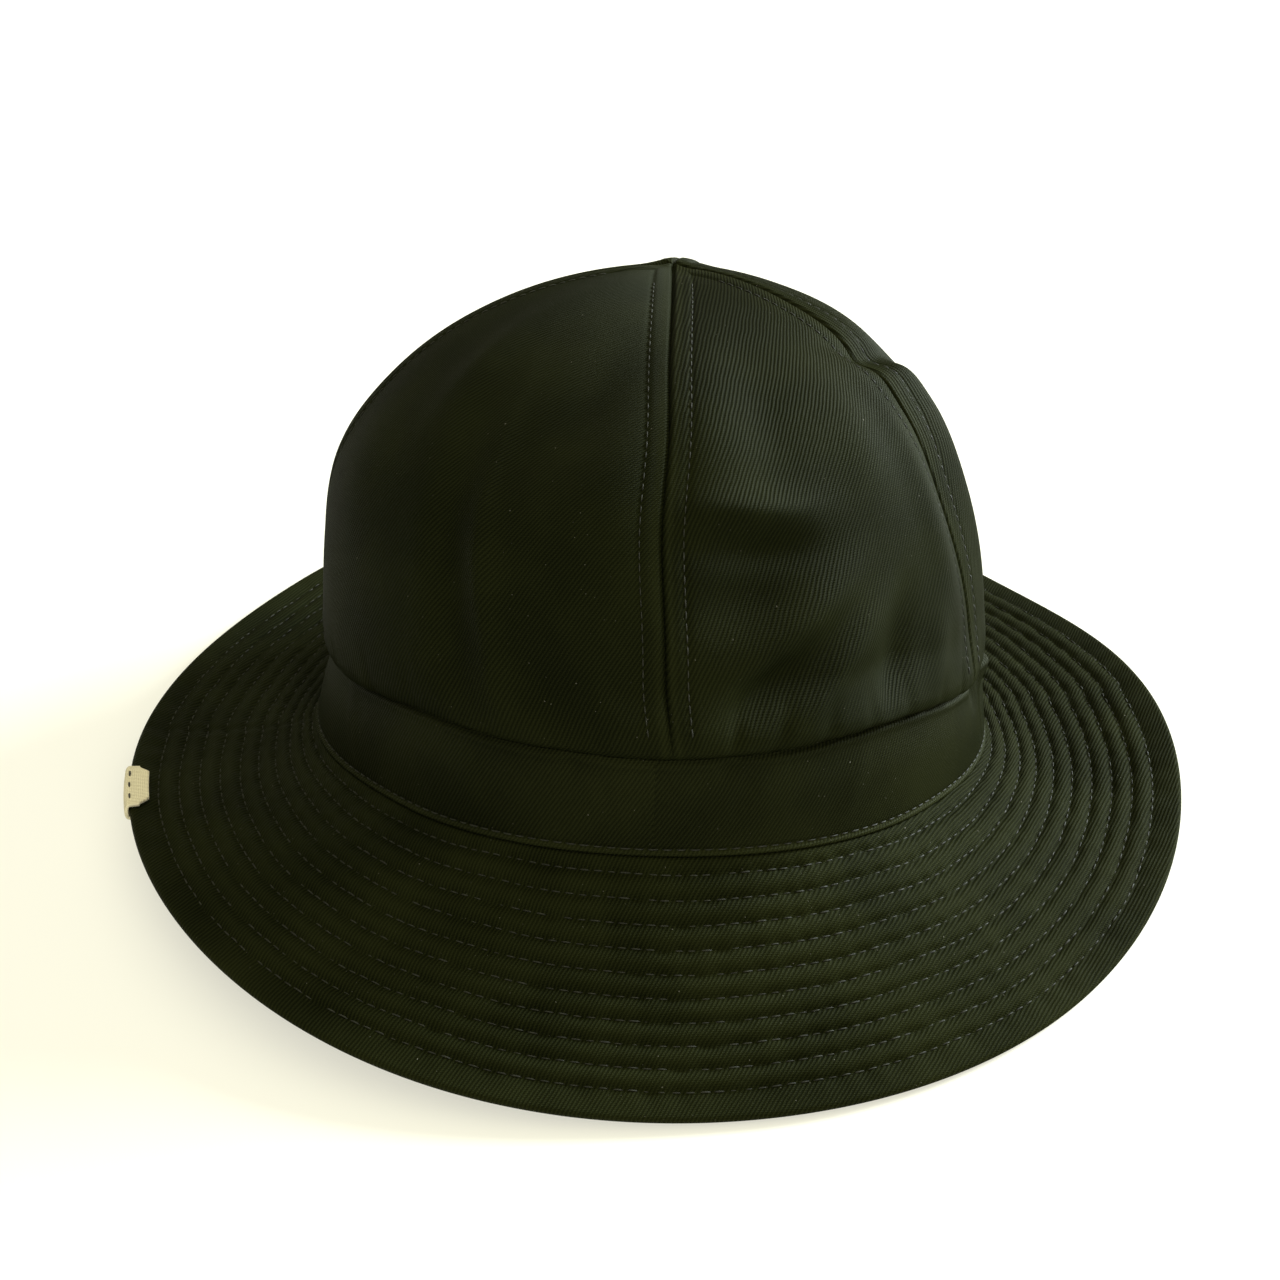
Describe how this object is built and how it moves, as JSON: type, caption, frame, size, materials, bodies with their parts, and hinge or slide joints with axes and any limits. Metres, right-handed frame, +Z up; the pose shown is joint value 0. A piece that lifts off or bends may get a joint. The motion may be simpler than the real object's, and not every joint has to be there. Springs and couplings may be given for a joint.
{
  "type": "hunting hat",
  "caption": "Soft cotton twill hunting hat with a round panelled crown, an upright band, a wide row-stitched brim and a small ribbon tab on the brim's edge.",
  "frame": {"origin": "middle of the hat's box, on the surface that the brim lies on", "axes": "+Z up, front of the hat towards -Y, +X to the right as seen from the front"},
  "size_m": [0.2956, 0.2966, 0.1373],
  "materials": {
    "crown_twill": "matte near-black cotton twill",
    "band_twill": "matte near-black cotton twill",
    "brim_twill": "matte near-black cotton twill, quilted in rows",
    "tab_ribbon": "matte beige ribbon"
  },
  "bodies": {
    "root": {"crown_panel_front_left": "crown_twill", "crown_panel_front_right": "crown_twill", "crown_panel_back_left": "crown_twill", "crown_panel_back_right": "crown_twill", "hat_band": "band_twill", "brim": "brim_twill", "brim_tab": "tab_ribbon"}
  },
  "joints": []
}
